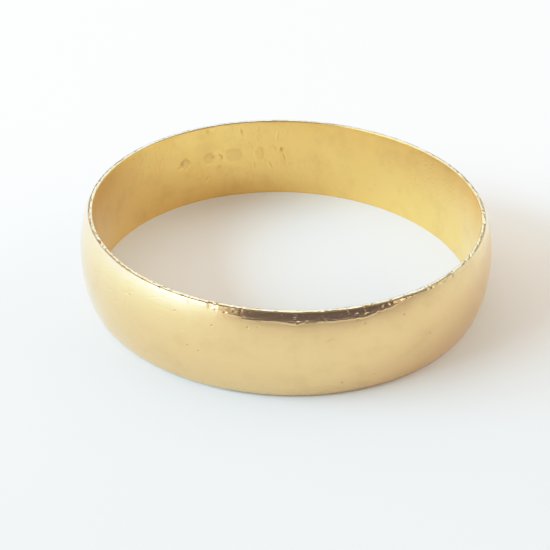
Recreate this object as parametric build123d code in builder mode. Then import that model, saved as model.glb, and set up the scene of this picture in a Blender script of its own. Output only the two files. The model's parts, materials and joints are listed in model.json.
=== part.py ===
from build123d import *

import os
from math import degrees, sqrt

# A plain wedding band of low D section, lying on one rim.
# Frame: millimetres, +Z along the finger, origin on the band's axis in the plane of the lower rim.
# The band is a strip of gold bent into a ring, and a sheet of hard solder joins its two ends.

# ---- Driving dimensions, in mm and degrees; directions run from +X towards +Y -----------------
inside_diameter = 16.87  # a 53 mm inside circumference
band_width = 4.0  # along the finger
wall_at_crown = 0.62  # thickest, halfway across the width
wall_at_rim = 0.20  # the flat end of the section, before its corners are rounded
dome_half_height = 2.30  # of the ellipse the outside follows, which the rims cut short
outer_edge_radius = 0.07
inner_edge_radius = 0.04

seam_width = 0.10  # the solder between the strip's two ends, measured at the bore
seam_direction = 172.0

mark_depth = 0.05  # of the punch marks in the bore
mark_width = 0.80
mark_height = 0.66
mark_pitch = 1.30  # from mark to mark, along the bore
mark_row_direction = 113.0  # of the middle of the row
mark_row_height = 2.25  # of the middle of the row, above the lower rim

# ---- Sizes that follow ------------------------------------------------------------------------
bore_radius = inside_diameter / 2
# The ellipse's depth, from its rise between the rim, where it is cut short, and the crown.
cut_short = sqrt(1 - (band_width / 2 / dome_half_height) ** 2)
dome_depth = (wall_at_crown - wall_at_rim) / (1 - cut_short)
dome_centre = bore_radius + wall_at_crown - dome_depth
seam_arc = degrees(seam_width / bore_radius)
strip_arc = 360 - seam_arc
strip_start = seam_direction + seam_arc / 2
mark_step = degrees(mark_pitch / bore_radius)
punch_reach = 0.05  # a punch starts this far inside the bore, clear of the curved wall


def outward(direction):
    """The unit vector square to the axis, pointing in this direction."""
    return Vector(1, 0, 0).rotate(Axis.Z, direction)


def radial_plane(direction):
    """The half plane through the axis in this direction: its x is the radius and its y the height."""
    return Plane(origin=(0, 0, 0), x_dir=outward(direction), z_dir=outward(direction - 90))


def punch_plane(marks_from_middle):
    """Where a punch starts its cut, this many marks along the row from its middle."""
    facing = outward(mark_row_direction + marks_from_middle * mark_step)
    start = facing * (bore_radius - punch_reach) + Vector(0, 0, mark_row_height)
    return Plane(origin=start, x_dir=Vector(0, 0, 1).cross(facing), z_dir=facing)


# ---- The D section, where the strip begins ----------------------------------------------------
with BuildSketch(radial_plane(strip_start)) as d_section:
    with Locations((dome_centre, band_width / 2)):
        Ellipse(x_radius=dome_depth, y_radius=dome_half_height)
    with Locations((bore_radius, 0)):
        Rectangle(wall_at_crown, band_width, align=Align.MIN, mode=Mode.INTERSECT)
    fillet(d_section.vertices().group_by(Axis.X)[0], radius=inner_edge_radius)
    # The outermost vertex is the crown, where the ellipse begins, so the outer corners come next to last.
    fillet(d_section.vertices().group_by(Axis.X)[-2], radius=outer_edge_radius)

# ---- Band strip: the gold, from one side of the solder all the way round to the other ---------
with BuildPart() as band_strip:
    revolve(profiles=d_section.sketch, axis=Axis.Z, revolution_arc=strip_arc)
    # A row of four plain punch marks: a lozenge, a hexagon, a wide octagon and an upright oval.
    with BuildSketch(punch_plane(1.5)):
        RegularPolygon(radius=mark_height / 2, side_count=4)
    with BuildSketch(punch_plane(0.5)):
        RegularPolygon(radius=mark_height / 2, side_count=6)
    with BuildSketch(punch_plane(-0.5)) as octagon:
        Rectangle(mark_width, mark_height)
        chamfer(octagon.vertices(), length=mark_height / 4)
    with BuildSketch(punch_plane(-1.5)):
        Ellipse(x_radius=mark_height / 3, y_radius=mark_height / 2)
    extrude(amount=punch_reach + mark_depth, mode=Mode.SUBTRACT)

# ---- Solder seam: the thin wedge that closes the ring -----------------------------------------
with BuildPart() as solder_seam:
    revolve(profiles=d_section.sketch, axis=Axis.Z, revolution_arc=-seam_arc)

# ---- One STEP file for each piece -------------------------------------------------------------
band_strip.part.label = "band_strip"
solder_seam.part.label = "solder_seam"

os.makedirs("parts", exist_ok=True)
export_step(band_strip.part, "parts/band_strip.step")
export_step(solder_seam.part, "parts/solder_seam.step")
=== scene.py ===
"""A worn plain gold wedding band, lying on white paper.

The two CAD nodes are stood for by fine meshes swept from the same D section: the band strip, with its
nicks, dents and punch marks, and the solder seam that closes it. Lengths are in millimetres until a mesh
or an object is made, and MM turns them into metres. Directions run from +X towards +Y.
"""

import json
import math

import bpy
import numpy as np
from mathutils import Matrix, Vector


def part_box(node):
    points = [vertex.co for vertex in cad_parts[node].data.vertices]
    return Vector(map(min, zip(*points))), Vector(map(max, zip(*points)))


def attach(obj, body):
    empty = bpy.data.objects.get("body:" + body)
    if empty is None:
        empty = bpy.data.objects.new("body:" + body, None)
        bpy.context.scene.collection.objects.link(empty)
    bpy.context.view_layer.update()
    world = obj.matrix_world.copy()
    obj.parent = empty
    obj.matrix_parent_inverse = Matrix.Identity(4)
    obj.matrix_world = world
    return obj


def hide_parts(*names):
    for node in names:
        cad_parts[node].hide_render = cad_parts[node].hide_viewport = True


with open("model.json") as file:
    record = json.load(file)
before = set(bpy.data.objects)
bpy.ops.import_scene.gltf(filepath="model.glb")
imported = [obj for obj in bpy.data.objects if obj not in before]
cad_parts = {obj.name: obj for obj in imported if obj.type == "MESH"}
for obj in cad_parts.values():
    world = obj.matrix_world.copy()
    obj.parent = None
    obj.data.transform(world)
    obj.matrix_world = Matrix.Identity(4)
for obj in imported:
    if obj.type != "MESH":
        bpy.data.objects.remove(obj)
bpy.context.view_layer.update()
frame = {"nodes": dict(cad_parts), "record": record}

MM = 0.001
rng = np.random.default_rng(1853)

# ---- Sizes read from the frame ----------------------------------------------------------------
bore_mount = next(m for m in frame["record"]["mounts"] if m["name"] == "finger_bore")
BORE = bore_mount["dims"]["r_mm"]
strip_low, strip_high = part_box("band_strip")
WIDTH = (strip_high.z - strip_low.z) / MM
CROWN = (strip_high.x - strip_low.x) / 2 / MM
seam_vertices = frame["nodes"]["solder_seam"].data.vertices
seam_angles = [math.atan2(v.co.y, v.co.x) for v in seam_vertices]
SEAM_FROM, SEAM_TO = min(seam_angles), max(seam_angles)

# ---- The D section, as in the CAD -------------------------------------------------------------
WALL_AT_RIM = 0.20  # the flat end of the section, before its corners are rounded
DOME_HALF_HEIGHT = 2.30  # of the ellipse the outside follows, which the rims cut short
OUTER_EDGE = 0.07  # radius of the outer corners
INNER_EDGE = 0.04  # radius of the bore's two edges

MARK_DEPTH = 0.05  # as punched
MARK_LEFT = 0.45  # the share of that depth still left by wear
MARK_EDGE = 0.022  # how softly a mark's edge falls
MARK_WIDTH = 0.80
MARK_HEIGHT = 0.66
MARK_PITCH = 1.30
MARK_ROW_DIRECTION = math.radians(113 + 360)  # the strip's own angles run on from the seam, past a turn
MARK_ROW_HEIGHT = 2.25

RUBBED_DIRECTION = math.radians(275.5)  # of the stretch whose rims are polished deepest, by wear
FOOT_DIP_AND_PAINTED_SHADE, FOOT_DIP_REACH = 0.035, 0.09  # how deep, and how far along the section, the lower corner is dipped in; its depth also darkens the corner's colour, painted shade where the band meets the paper

MEAN_RADIUS = (BORE + CROWN) / 2
COLUMNS = 1600  # round the strip
STRIP_ANGLES = np.linspace(SEAM_TO, SEAM_FROM + 2 * math.pi, COLUMNS + 1)


def arc(centre, radius, start, end, steps):
    """(points, normals) of the section along an arc given in degrees, without its last point."""
    angles = np.radians(np.linspace(start, end, steps, endpoint=False))
    normals = np.stack([np.cos(angles), np.sin(angles)], 1)
    return np.array(centre) + radius * normals, normals


def flat(start, heading, spots, normal):
    """(points, normals) of the section on a straight stretch, at these distances from its start."""
    points = np.array(start) + np.outer(spots, heading)
    return points, np.tile(np.array(normal, float), (len(spots), 1))


def dome(turn):
    """(points, normals) of the outside's ellipse, at this turn in radians up from the crown."""
    half = WIDTH / 2
    cut_short = math.sqrt(1 - (half / DOME_HALF_HEIGHT) ** 2)
    depth = (CROWN - BORE - WALL_AT_RIM) / (1 - cut_short)
    turn = np.atleast_1d(turn)
    points = np.stack([CROWN - depth * (1 - np.cos(turn)), half + DOME_HALF_HEIGHT * np.sin(turn)], 1)
    normals = np.stack([np.cos(turn) / depth, np.sin(turn) / DOME_HALF_HEIGHT], 1)
    return points, normals / np.linalg.norm(normals, axis=1)[:, None]


def corner_turn():
    """The turn at which the outer corner's round meets the dome, found by halving."""
    low, high = 0.0, math.asin(WIDTH / 2 / DOME_HALF_HEIGHT)
    for _ in range(40):
        turn = (low + high) / 2
        point, normal = dome(turn)
        centre_height = point[0, 1] - OUTER_EDGE * normal[0, 1]
        low, high = (turn, high) if centre_height < WIDTH - OUTER_EDGE else (low, turn)
    return low


def d_section():
    """The closed D section from the foot of the bore, up it and round: its points, its normals and
    where each named stretch begins."""
    turn = corner_turn()
    point, normal = dome(turn)
    corner_radius = float(point[0, 0] - OUTER_EDGE * normal[0, 0])
    lean = math.degrees(math.atan2(normal[0, 1], normal[0, 0]))
    rim_from = BORE + INNER_EDGE
    rim_length = corner_radius - rim_from

    bore_length = WIDTH - 2 * INNER_EDGE
    spare = 0.06  # beyond the marks on each side, still closely spaced
    row_foot = MARK_ROW_HEIGHT - MARK_HEIGHT / 2 - INNER_EDGE - spare
    row_head = row_foot + MARK_HEIGHT + 2 * spare
    spots = np.concatenate([
        np.linspace(0, row_foot, 20, endpoint=False),
        np.linspace(row_foot, row_head, 13, endpoint=False),
        np.linspace(row_head, bore_length, 15, endpoint=False),
    ])
    top, foot = WIDTH - INNER_EDGE, INNER_EDGE
    stretches = {
        "bore": flat((BORE, foot), (0, 1), spots, (-1, 0)),
        "upper_edge": arc((rim_from, top), INNER_EDGE, 180, 90, 3),
        "upper_rim": flat((rim_from, WIDTH), (1, 0), [0, rim_length / 2], (0, 1)),
        "upper_corner": arc((corner_radius, WIDTH - OUTER_EDGE), OUTER_EDGE, 90, lean, 4),
        "dome": dome(np.linspace(turn, -turn, 22, endpoint=False)),
        "lower_corner": arc((corner_radius, OUTER_EDGE), OUTER_EDGE, -lean, -90, 3),
        "lower_rim": flat((corner_radius, 0), (-1, 0), [0, rim_length / 2], (0, -1)),
        "lower_edge": arc((rim_from, foot), INNER_EDGE, -90, -180, 3),
    }
    points = np.concatenate([p for p, _ in stretches.values()])
    normals = np.concatenate([n for _, n in stretches.values()])
    steps = np.linalg.norm(np.diff(points, axis=0), axis=1)
    run = np.concatenate([[0.0], np.cumsum(steps)])
    counts = np.cumsum([0] + [len(p) for p, _ in stretches.values()])
    begins = dict(zip(stretches, counts))
    return points, normals, run, begins


POINTS, NORMALS, RUN, BEGINS = d_section()
ROUND_THE_SECTION = RUN[-1] + float(np.linalg.norm(POINTS[-1] - POINTS[0]))


def stretch_run(name):
    """(first, last) distance round the section of a named stretch."""
    names = list(BEGINS)
    after = names.index(name) + 1
    last = RUN[BEGINS[names[after]]] if after < len(names) else ROUND_THE_SECTION
    return RUN[BEGINS[name]], last


# ---- Wear, as a field of heights over the unrolled band ---------------------------------------
def worn_round(angles):
    """How far the whole wall stands off the true circle, from years on a finger."""
    return (
        0.012 * np.cos(2 * angles + 0.6)
        + 0.006 * np.cos(3 * angles + 2.1)
        + 0.003 * np.cos(7 * angles + 4.0)
    )


def waves(count, shortest, longest, height, seed):
    """A smooth random surface over (distance round the band, distance round the section)."""
    draw = np.random.default_rng(seed)
    lengths = draw.uniform(shortest, longest, count)
    turns = draw.uniform(0, 2 * math.pi, (count, 2))

    def field(u, s):
        total = 0.0
        for length, (heading, phase) in zip(lengths, turns):
            k = 2 * math.pi / length
            total = total + np.cos(k * (u * math.cos(heading) + s * math.sin(heading)) + phase)
        return height * total / math.sqrt(count)

    return field


def press_dents(heights, u, s, dents):
    """Presses each dent, an ellipse with a faint raised lip, into the grid of heights."""
    for at_u, at_s, long, short, turn, depth in dents:
        reach = 3 * max(long, short)
        columns = np.flatnonzero(np.abs(u - at_u) < reach)
        rows = np.flatnonzero(np.abs(s - at_s) < reach)
        if not len(columns) or not len(rows):
            continue
        du = (u[columns] - at_u)[:, None]
        ds = (s[rows] - at_s)[None, :]
        along = (du * math.cos(turn) + ds * math.sin(turn)) / long
        across = (ds * math.cos(turn) - du * math.sin(turn)) / short
        far = along**2 + across**2
        shape = np.exp(-far) - 0.30 * np.exp(-((np.sqrt(far) - 1.6) ** 2) / 0.25)
        heights[np.ix_(columns, rows)] -= depth * shape


def scatter(count, zone, long, short, depth, span=(STRIP_ANGLES[0], STRIP_ANGLES[-1])):
    """Random dents over a stretch of the section, within a span of the strip's angles: their half
    lengths, half widths and depths are (least, most)."""
    first, last = zone
    return np.stack([
        rng.uniform(span[0], span[1], count) * MEAN_RADIUS,
        rng.uniform(first, last, count),
        rng.uniform(*long, count),
        rng.uniform(*short, count),
        rng.uniform(0, math.pi, count),
        rng.uniform(*depth, count),
    ], 1)


def lozenge(x, y):
    return np.abs(x) + np.abs(y) - MARK_HEIGHT / 2


def hexagon(x, y):
    size = MARK_HEIGHT / 2 * math.cos(math.pi / 6)
    slant = np.abs(x) * math.cos(math.pi / 6) + np.abs(y) * math.sin(math.pi / 6)
    return np.maximum(slant, np.abs(y)) - size


def octagon(x, y):
    box = np.maximum(np.abs(x) - MARK_WIDTH / 2, np.abs(y) - MARK_HEIGHT / 2)
    cut = (np.abs(x) + np.abs(y) - MARK_WIDTH / 2 - MARK_HEIGHT / 4) * math.sqrt(0.5)
    return np.maximum(box, cut)


def oval(x, y):
    return (np.hypot(x / (MARK_HEIGHT / 3), y / (MARK_HEIGHT / 2)) - 1) * MARK_HEIGHT / 3


def punch(heights, angles, outline, steps):
    """Presses one plain punch mark into the bore, worn shallow and soft at its edge."""
    rows = np.arange(BEGINS["bore"], BEGINS["upper_edge"])
    x = ((angles - MARK_ROW_DIRECTION) * BORE - steps * MARK_PITCH)[:, None]
    y = (POINTS[rows, 1] - MARK_ROW_HEIGHT)[None, :]
    beyond = np.minimum(outline(x, y) / MARK_EDGE, 50)  # far enough out that nothing is pressed
    inside = 1 / (1 + np.exp(beyond))
    heights[:, rows] -= MARK_LEFT * MARK_DEPTH * inside


def wear(angles, worn):
    """Heights above the true surface, for columns at these angles and every row of the section."""
    u = angles * MEAN_RADIUS
    grid_u, grid_s = u[:, None], RUN[None, :]
    outer = np.zeros(len(RUN))
    outer[BEGINS["upper_rim"]:BEGINS["lower_edge"]] = 1
    heights = waves(14, 0.9, 3.5, 0.0016, 11)(grid_u, grid_s) * outer
    heights = heights + waves(10, 2.0, 6.0, 0.0012, 12)(grid_u, grid_s) * (1 - outer)
    foot_from, foot_to = stretch_run("lower_corner")
    from_corner = grid_s - (foot_from + foot_to) / 2
    # The lower corner is dipped in, and through that depth painted darker: painted shade along the foot.
    heights = heights - FOOT_DIP_AND_PAINTED_SHADE * np.exp(-((from_corner / FOOT_DIP_REACH) ** 2))
    if not worn:
        return heights
    for corner in ("upper_corner", "lower_corner"):
        first, last = stretch_run(corner)
        zone = (first - 0.04, last + 0.04)
        press_dents(heights, u, RUN, scatter(110, zone, (0.06, 0.16), (0.04, 0.07), (0.002, 0.008)))
        press_dents(heights, u, RUN, scatter(20, zone, (0.15, 0.40), (0.06, 0.10), (0.004, 0.012)))
    for rim in ("upper_rim", "lower_rim"):
        first, last = stretch_run(rim)
        zone = (first, last)
        press_dents(heights, u, RUN, scatter(170, zone, (0.06, 0.30), (0.04, 0.07), (0.001, 0.007)))
    dome_zone = stretch_run("dome")
    press_dents(heights, u, RUN, scatter(60, dome_zone, (0.25, 0.8), (0.16, 0.3), (0.001, 0.004)))
    bore = stretch_run("bore")
    press_dents(heights, u, RUN, scatter(40, bore, (0.20, 0.6), (0.15, 0.3), (0.001, 0.003)))
    by_marks = (MARK_ROW_DIRECTION - 0.45, MARK_ROW_DIRECTION + 0.35)
    press_dents(heights, u, RUN, scatter(24, bore, (0.12, 0.24), (0.04, 0.06), (0.014, 0.032), by_marks))
    for outline, steps in ((lozenge, 1.5), (hexagon, 0.5), (octagon, -0.5), (oval, -1.5)):
        punch(heights, angles, outline, steps)
    return heights


# ---- Meshes -----------------------------------------------------------------------------------
def sweep(name, angles, worn):
    """A closed solid: the D section swept through these angles, with its wear and two end caps."""
    heights = wear(angles, worn)
    radius = POINTS[None, :, 0] + heights * NORMALS[None, :, 0] + worn_round(angles)[:, None]
    height = POINTS[None, :, 1] + heights * NORMALS[None, :, 1]
    height = np.clip(height, 0, WIDTH)
    columns, rows = heights.shape
    co = np.stack([
        radius * np.cos(angles)[:, None],
        radius * np.sin(angles)[:, None],
        height,
    ], 2).reshape(-1, 3) * MM

    i, j = np.meshgrid(np.arange(columns - 1), np.arange(rows), indexing="ij")
    after = (j + 1) % rows
    quads = np.stack([i * rows + j, i * rows + after, (i + 1) * rows + after, (i + 1) * rows + j], 2)
    first_cap = list(range(rows))
    last_cap = [(columns - 1) * rows + k for k in reversed(range(rows))]
    mesh = bpy.data.meshes.new(name)
    mesh.from_pydata(co.tolist(), [], quads.reshape(-1, 4).tolist() + [first_cap, last_cap])

    unrolled = np.zeros((columns, rows, 3), np.float32)
    unrolled[:, :, 0] = (angles * MEAN_RADIUS)[:, None]
    unrolled[:, :, 1] = RUN[None, :]
    mesh.attributes.new("unrolled", "FLOAT_VECTOR", "POINT").data.foreach_set("vector", unrolled.ravel())
    worn_in = mesh.attributes.new("depth", "FLOAT", "POINT")
    worn_in.data.foreach_set("value", (-heights).astype(np.float32).ravel())

    mesh.polygons.foreach_set("use_smooth", [True] * len(mesh.polygons))
    cap_edges = set()
    for cap in (first_cap, last_cap):
        cap_edges |= {frozenset((a, b)) for a, b in zip(cap, cap[1:] + cap[:1])}
    for edge in mesh.edges:
        if frozenset(edge.vertices) in cap_edges:
            edge.use_edge_sharp = True
    mesh.validate()
    mesh.update()
    piece = bpy.data.objects.new(name, mesh)
    bpy.context.scene.collection.objects.link(piece)
    return piece


# ---- Materials --------------------------------------------------------------------------------
class Nodes:
    """Adds shader nodes to a tree: inputs are plain values or the sockets that feed them."""

    def __init__(self, tree):
        self.tree = tree
        self.tree.nodes.clear()

    def add(self, kind, inputs=None, **settings):
        node = self.tree.nodes.new("ShaderNode" + kind)
        for key, value in settings.items():
            setattr(node, key, value)
        for key, value in (inputs or {}).items():
            if isinstance(value, bpy.types.NodeSocket):
                self.tree.links.new(value, node.inputs[key])
            else:
                node.inputs[key].default_value = value
        return node

    def math(self, operation, a, b=0.0):
        return self.add("Math", {0: a, 1: b}, operation=operation).outputs[0]

    def ramp(self, value, low, high, to_low=0.0, to_high=1.0):
        """Value from low to high, eased to the range to_low to to_high."""
        inputs = {"Value": value, "From Min": low, "From Max": high, "To Min": to_low, "To Max": to_high}
        return self.add("MapRange", inputs, interpolation_type="SMOOTHSTEP").outputs[0]

    def noise(self, vector, scale, detail=2.0, roughness=0.5):
        inputs = {"Vector": vector, "Scale": scale, "Detail": detail, "Roughness": roughness}
        return self.add("TexNoise", inputs).outputs[0]

    def mix(self, share, a, b):
        node = self.add("Mix", data_type="RGBA")
        for index, value in ((0, share), (6, a), (7, b)):
            if isinstance(value, bpy.types.NodeSocket):
                self.tree.links.new(value, node.inputs[index])
            else:
                node.inputs[index].default_value = value
        return node.outputs[2]


def scratches(n, place, turn, length, gap, width, share, seed):
    """Separate straight hairlines, one to a cell of this length and gap in mm, in this share of the
    cells, running at this turn from the band's run: 1 along each line's middle, 0 off it."""
    mapped = n.add("Mapping", {
        "Vector": place,
        "Location": (seed * 7.3, seed * 3.1, 0),
        "Rotation": (0, 0, turn),
        "Scale": (1 / length, 1 / gap, 0),
    }).outputs[0]
    cell = n.add("TexVoronoi", {"Vector": mapped, "Scale": 1.0}, voronoi_dimensions="2D")
    off = n.add("VectorMath", {0: mapped, 1: cell.outputs["Position"]}, operation="SUBTRACT")
    split = n.add("SeparateXYZ", {0: off.outputs[0]})
    draw = n.add("SeparateColor", {0: cell.outputs["Color"]})
    across = n.ramp(n.math("ABSOLUTE", split.outputs["Y"]), 0, width / gap, 1, 0)
    along = n.ramp(n.math("ABSOLUTE", split.outputs["X"]), 0.12, 0.45, 1, 0)
    kept = n.ramp(draw.outputs[0], 1 - share, 1 - share / 2)
    return n.math("MULTIPLY", n.math("MULTIPLY", across, along), kept)


TICK_DEPTH, NICK_DEPTH, SPECK_DEPTH = 3.0, 2.5, 6.0  # as multiples of a hairline's depth
FILM = 1.0  # the share of the gold under a thin film, a guess that pales it where it is seen aslant


def gold_material(name, outside, inside, tarnish_and_shade_gold, satin, scratch_height):
    """Worn gold alloy, scuffed to a satin, polished where its edges are rubbed and browner in its pits. The
    bore is painted a deeper yellow, tuned to the photograph: a painted reflection of light bounced round the
    gold inside it, since a real band is one alloy."""
    material = bpy.data.materials.new(name)
    material.use_nodes = True
    n = Nodes(material.node_tree)
    place = n.add("Attribute", attribute_name="unrolled").outputs["Vector"]
    depth = n.add("Attribute", attribute_name="depth").outputs["Fac"]
    spots = n.add("SeparateXYZ", {0: place})
    round_band, round_section = spots.outputs["X"], spots.outputs["Y"]
    upper, lower = stretch_run("dome")
    from_rubbed = n.math("ABSOLUTE", n.math("SUBTRACT", round_band, RUBBED_DIRECTION * MEAN_RADIUS))
    spread = n.ramp(from_rubbed, 1.8, 4.8, 0.30, 0.0)
    wander = n.math("MULTIPLY", n.math("SUBTRACT", n.noise(place, 0.9, 2.0), 0.5), 0.30)
    wander = n.math("SUBTRACT", wander, spread)
    from_rim = n.math("ADD", n.math("SUBTRACT", round_section, upper), wander)
    from_foot = n.math("ADD", n.math("SUBTRACT", lower, round_section), wander)
    scuffed = n.math("MULTIPLY", n.ramp(from_rim, 0.02, 0.12), n.ramp(from_foot, 0.02, 0.12))
    in_bore = n.ramp(round_section, *[run + 0.02 for run in stretch_run("upper_edge")], 1, 0)

    lines = [
        scratches(n, place, 0.04, 2.8, 0.42, 0.055, 0.5, 1),
        scratches(n, place, -0.12, 1.6, 0.60, 0.060, 0.4, 2),
        scratches(n, place, 0.50, 1.1, 0.90, 0.060, 0.35, 3),
        scratches(n, place, -0.80, 0.9, 0.90, 0.060, 0.3, 4),
    ]
    hairlines = lines[0]
    for line in lines[1:]:
        hairlines = n.math("ADD", hairlines, line)
    hairlines = n.math("MULTIPLY", hairlines, n.ramp(in_bore, 0, 1, 0.85, 0.15))
    ticks = n.math("SUBTRACT", 1.0, scuffed)
    ticks = n.math("MULTIPLY", ticks, n.ramp(n.noise(place, 0.5, 1.0), 0.38, 0.56))
    ticks = n.math("MULTIPLY", ticks, scratches(n, place, 1.50, 0.40, 0.17, 0.050, 0.6, 6))
    nicks = n.math("ADD", scratches(n, place, 0.25, 0.55, 0.80, 0.060, 0.3, 7),
                   scratches(n, place, -1.10, 0.40, 0.90, 0.060, 0.3, 8))
    polish = n.noise(n.add("Mapping", {"Vector": place, "Scale": (1.2, 7, 1)}).outputs[0], 1.0, 2.0, 0.6)
    polish = n.math("MULTIPLY", polish, n.ramp(n.math("MAXIMUM", scuffed, in_bore), 0, 1, 3.0, 0.5))
    specks = n.add("TexVoronoi", {"Vector": place, "Scale": 0.8}, voronoi_dimensions="2D")
    kept = n.ramp(n.add("SeparateColor", {0: specks.outputs["Color"]}).outputs[1], 0.66, 0.9)
    kept = n.math("MULTIPLY", kept, n.ramp(in_bore, 0, 1, 1, 0.3))
    specks = n.math("MULTIPLY", n.ramp(specks.outputs["Distance"], 0.018, 0.045, 1, 0), kept)

    height = n.math("MULTIPLY", hairlines, -1.0)
    height = n.math("SUBTRACT", height, n.math("MULTIPLY", ticks, TICK_DEPTH))
    height = n.math("SUBTRACT", height, n.math("MULTIPLY", nicks, NICK_DEPTH))
    height = n.math("ADD", height, polish)
    height = n.math("SUBTRACT", height, n.math("MULTIPLY", specks, SPECK_DEPTH))
    bump = n.add("Bump", {"Height": height, "Distance": scratch_height * MM, "Strength": 1.0})

    blotches = n.noise(place, 0.55, 3.0, 0.55)
    rough = n.ramp(blotches, 0.30, 0.70, satin - 0.04, satin + 0.05)
    rough = n.math("MULTIPLY", rough, n.ramp(n.math("MAXIMUM", scuffed, in_bore), 0, 1, 0.5, 1))
    # Browner in dents and pits as tarnish, and along the dipped lower corner as painted shade at the foot.
    tarnish_and_foot_shade = n.math("MAXIMUM", n.ramp(depth, 0.006, 0.040, 0, 0.45), n.math("MULTIPLY", specks, 0.7))
    smudges = n.ramp(n.noise(place, 0.8, 4.0, 0.6), 0.46, 0.72, 0, 0.16)
    # The bore takes its deeper painted yellow: a painted reflection of light bounced round inside the band.
    colour = n.mix(in_bore, outside, inside)
    colour = n.mix(n.math("MAXIMUM", tarnish_and_foot_shade, smudges), colour, tarnish_and_shade_gold)
    principled = n.add("BsdfPrincipled", {
        "Base Color": colour,
        "Metallic": 1.0,
        "Roughness": rough,
        "Normal": bump.outputs[0],
        "Coat Weight": FILM,
        "Coat Roughness": rough,
        "Coat Normal": bump.outputs[0],
    })
    n.add("OutputMaterial", {"Surface": principled.outputs[0]})
    return material


SATIN = 0.34  # roughness of the scuffed gold
# The bore colours are painted a deeper yellow than the outside ones: a painted reflection of light bounced
# round inside the band.
GOLD_OUTSIDE = (0.835, 0.578, 0.265, 1)
GOLD_BORE_PAINTED_BOUNCE = (0.99, 0.69, 0.225, 1)
GOLD_IN_PITS_AND_FOOT_SHADE = (0.50, 0.30, 0.10, 1)
SOLDER_OUTSIDE = (0.81, 0.562, 0.26, 1)
SOLDER_BORE_PAINTED_BOUNCE = (0.95, 0.66, 0.24, 1)

band = sweep("band_strip_worn", STRIP_ANGLES, True)
seam = sweep("solder_seam_worn", np.linspace(SEAM_FROM, SEAM_TO, 9), False)
band.data.materials.append(gold_material(
    "worn_gold", GOLD_OUTSIDE, GOLD_BORE_PAINTED_BOUNCE, GOLD_IN_PITS_AND_FOOT_SHADE, SATIN, 0.0026))
seam.data.materials.append(gold_material(
    "gold_solder", SOLDER_OUTSIDE, SOLDER_BORE_PAINTED_BOUNCE, GOLD_IN_PITS_AND_FOOT_SHADE, SATIN, 0.0018))
for piece, node, slot in ((band, "band_strip", "gold"), (seam, "solder_seam", "gold_solder")):
    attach(piece, "root")
    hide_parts(node)

# ---- Floor ------------------------------------------------------------------------------------
FLOOR_HALF = 600.0
half = FLOOR_HALF * MM
floor_mesh = bpy.data.meshes.new("floor")
floor_mesh.from_pydata(
    [(-half, -half, 0), (half, -half, 0), (half, half, 0), (-half, half, 0)], [], [(0, 1, 2, 3)]
)
floor = bpy.data.objects.new("floor", floor_mesh)
bpy.context.scene.collection.objects.link(floor)
paper = bpy.data.materials.new("white_paper")
paper.use_nodes = True
n = Nodes(paper.node_tree)
# The paper's colour is painted darker towards the near right and lighter towards the far left: a painted
# falloff of light and shade across the floor.
on_paper = n.add("SeparateXYZ", {0: n.add("TexCoord").outputs["Object"]})
towards_painted_light = n.math("SUBTRACT", on_paper.outputs["Y"], n.math("MULTIPLY", on_paper.outputs["X"], 0.35))
PAPER_IN_PAINTED_SHADE, PAPER_IN_PAINTED_LIGHT = (0.64, 0.635, 0.63, 1), (0.84, 0.85, 0.845, 1)
painted_light_falloff = n.mix(n.ramp(towards_painted_light, -16 * MM, 13 * MM), PAPER_IN_PAINTED_SHADE, PAPER_IN_PAINTED_LIGHT)
paper_shader = n.add("BsdfPrincipled", {"Base Color": painted_light_falloff, "Roughness": 0.9})
n.add("OutputMaterial", {"Surface": paper_shader.outputs[0]})
floor.data.materials.append(paper)


# ---- Camera -----------------------------------------------------------------------------------
CAMERA_ELEVATION = math.radians(32.12)
CAMERA_ROLL = math.radians(-1.46)
CAMERA_DISTANCE = 6.471 * BORE
CAMERA_LENS = 78.5  # on the default 36 mm sensor
AIM_RIGHT, AIM_DOWN = 0.0527 * BORE, 0.0256 * BORE  # from the picture's centre to the band's foot centre

forward = Vector((0, math.cos(CAMERA_ELEVATION), -math.sin(CAMERA_ELEVATION)))
level_right = Vector((1, 0, 0))
level_down = forward.cross(level_right)
right = level_right * math.cos(CAMERA_ROLL) + level_down * math.sin(CAMERA_ROLL)
down = level_down * math.cos(CAMERA_ROLL) - level_right * math.sin(CAMERA_ROLL)
spot = -(right * AIM_RIGHT + down * AIM_DOWN + forward * CAMERA_DISTANCE) * MM
camera_data = bpy.data.cameras.new("camera")
camera_data.lens = CAMERA_LENS
camera_data.clip_start, camera_data.clip_end = 5 * MM, 5000 * MM
camera = bpy.data.objects.new("camera", camera_data)
turned = Matrix((right, -down, -forward)).transposed().to_4x4()
camera.matrix_world = Matrix.Translation(spot) @ turned
bpy.context.scene.collection.objects.link(camera)
bpy.context.scene.camera = camera


# ---- Light ------------------------------------------------------------------------------------
def aim(azimuth, elevation):
    """The unit vector this many degrees round from the camera's side of the band, towards +X."""
    a, e = math.radians(azimuth), math.radians(elevation)
    return Vector((math.sin(a) * math.cos(e), -math.cos(a) * math.cos(e), math.sin(e)))


def area_light(name, azimuth, elevation, distance, width, height, radiance, colour):
    """A soft box facing the band; radiance is how bright its face looks, with white paper near 1."""
    data = bpy.data.lights.new(name, "AREA")
    data.shape = "RECTANGLE"
    data.size = width * MM
    data.size_y = height * MM
    data.energy = radiance * math.pi * width * height * MM**2
    data.color = colour
    lamp = bpy.data.objects.new(name, data)
    towards = aim(azimuth, elevation)
    lamp.location = towards * distance * MM
    lamp.rotation_mode = "QUATERNION"
    lamp.rotation_quaternion = towards.to_track_quat("Z", "Y")
    lamp.visible_camera = False
    bpy.context.scene.collection.objects.link(lamp)
    return lamp


window = area_light("window", -75, 26, 400, 340, 130, 16.5, (0.70, 1.0, 1.20))
window.visible_glossy = False
far_light = area_light("far_light", -150, 55, 120, 120, 90, 0.8, (0.92, 1.0, 1.06))
far_light.visible_glossy = False

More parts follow.
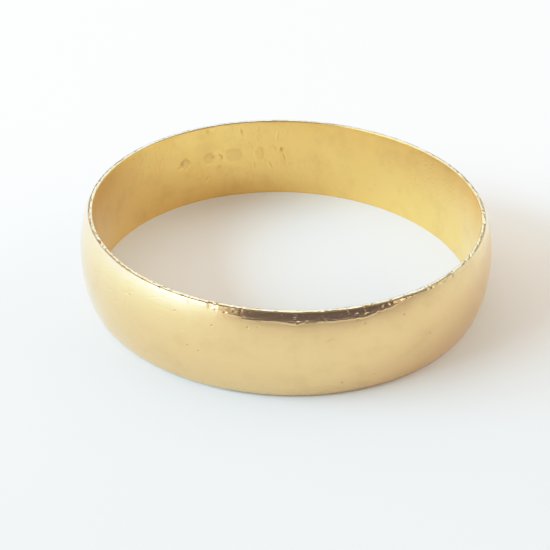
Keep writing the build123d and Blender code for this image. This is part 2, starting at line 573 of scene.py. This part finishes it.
world = bpy.data.worlds.new("room")
bpy.context.scene.world = world
world.use_nodes = True
world.cycles.sampling_method = "NONE"  # rays find the world themselves, as it differs by kind of ray
n = Nodes(world.node_tree)
direction = n.add("TexCoord").outputs["Generated"]
parts = n.add("SeparateXYZ", {0: direction})
sine = parts.outputs["Z"]
azimuth = n.math("ARCTAN2", parts.outputs["X"], n.math("MULTIPLY", parts.outputs["Y"], -1.0))


def between(value, first, last, ease):
    """1 from first to last, easing to 0 over this much on each side."""
    rise = n.ramp(value, first - ease, first)
    return n.math("MULTIPLY", rise, n.ramp(value, last, last + ease, 1, 0))


def patch(west, east, side_ease, foot, foot_ease, top, top_ease):
    """1 in a stretch of the room from west to east and from foot to top, all in degrees."""
    sides = between(azimuth, math.radians(west), math.radians(east), math.radians(side_ease))
    low, high = math.sin(math.radians(top)), math.sin(math.radians(top + top_ease))
    foot_low = n.math("SUBTRACT", foot, foot_ease)
    rises = n.ramp(sine, foot_low, foot)
    return n.math("MULTIPLY", n.math("MULTIPLY", sides, rises), n.ramp(sine, low, high, 1, 0))


def lobe(azimuth, elevation, inner, outer):
    """1 within inner degrees of this direction, easing to 0 at outer degrees."""
    dot = n.add("VectorMath", {0: direction, 1: aim(azimuth, elevation)}, operation="DOT_PRODUCT")
    return n.ramp(dot.outputs["Value"], math.cos(math.radians(outer)), math.cos(math.radians(inner)))


# The room that lights the paper.
LOW_ROOM = (1.05, 0.90, 0.72, 1)
HIGH_ROOM = (0.70, 0.59, 0.465, 1)
WARM_SIDE = (5.0, 4.8, 4.5, 1)
BLUE_SIDE = (1.50, 2.30, 2.90, 1)
room = n.mix(lobe(100, 6, 20, 52), LOW_ROOM, WARM_SIDE)
room = n.mix(lobe(-88, 6, 20, 55), room, BLUE_SIDE)
room = n.mix(n.ramp(sine, math.sin(math.radians(25)), math.sin(math.radians(65))), room, HIGH_ROOM)

# The room that the gold mirrors is another one, tuned to the photograph and not physical: plain walls,
# bluer at the left and paler at the right, a dim ceiling with a light over the far side, the window and its
# glow at the left, the photographer in front, higher off the floor towards the right, and two small lamps.
WALLS = (1.04, 1.03, 1.00, 1)
LEFT_WALL = (1.50, 1.86, 2.75, 1)
RIGHT_WALL = (1.06, 1.18, 1.24, 1)
GLOW = (2.4, 2.7, 3.1, 1)
PANES = (4.6, 4.9, 5.4, 1)
CEILING = (0.34, 0.31, 0.30, 1)
FAR_LIGHT = (2.0, 2.6, 3.4, 1)
PHOTOGRAPHER = (0.17, 0.16, 0.23, 1)
LAMP = (5.0, 4.9, 4.6, 1)
mirrored = n.mix(lobe(-100, -5, 15, 60), WALLS, LEFT_WALL)
mirrored = n.mix(lobe(115, 0, 20, 60), mirrored, RIGHT_WALL)
mirrored = n.mix(lobe(-66, 6, 10, 32), mirrored, GLOW)
mirrored = n.mix(n.ramp(sine, math.sin(math.radians(44)), math.sin(math.radians(56))), mirrored, CEILING)
mirrored = n.mix(patch(-80, -44, 8, math.sin(math.radians(17)), math.sin(math.radians(6)), 46, 6),
                 mirrored, PANES)
mirrored = n.mix(lobe(180, 32, 14, 22), mirrored, CEILING)
mirrored = n.mix(lobe(180, 32, 5, 12), mirrored, FAR_LIGHT)
eastward = n.ramp(azimuth, math.radians(36), math.radians(66))
foot = n.ramp(eastward, 0, 1, math.sin(math.radians(6)), math.sin(math.radians(13)))
foot_ease = n.ramp(eastward, 0, 1, math.sin(math.radians(5)), math.sin(math.radians(8)))
mirrored = n.mix(patch(-20, 82, 18, foot, foot_ease, 42, 14), mirrored, PHOTOGRAPHER)
mirrored = n.mix(lobe(66, 18, 1.5, 4), mirrored, LAMP)
mirrored = n.mix(lobe(85, 14, 1, 3), mirrored, LAMP)

path = n.add("LightPath")
shown = n.mix(path.outputs["Is Glossy Ray"], room, mirrored)
BACKDROP = (1.15, 1.16, 1.16, 1)
shown = n.mix(path.outputs["Is Camera Ray"], shown, BACKDROP)
ROOM_STRENGTH = 0.9
background = n.add("Background", {"Color": shown, "Strength": ROOM_STRENGTH})
n.add("OutputWorld", {"Surface": background.outputs[0]})

scene = bpy.context.scene
scene.view_settings.view_transform = "Standard"
scene.view_settings.look = "None"
# A camera's soft shoulder, so that the paper keeps its tone.
scene.view_settings.use_curve_mapping = True
shoulder = scene.view_settings.curve_mapping
shoulder.clip_max_x, shoulder.clip_max_y = 3.0, 1.0
shoulder.extend = "HORIZONTAL"
for curve in shoulder.curves[:3]:
    curve.points[-1].location = (1.7, 1.0)
    for bend in ((0.3, 0.3), (0.6, 0.6), (0.9, 0.84), (1.2, 0.95)):
        curve.points.new(*bend)
shoulder.update()
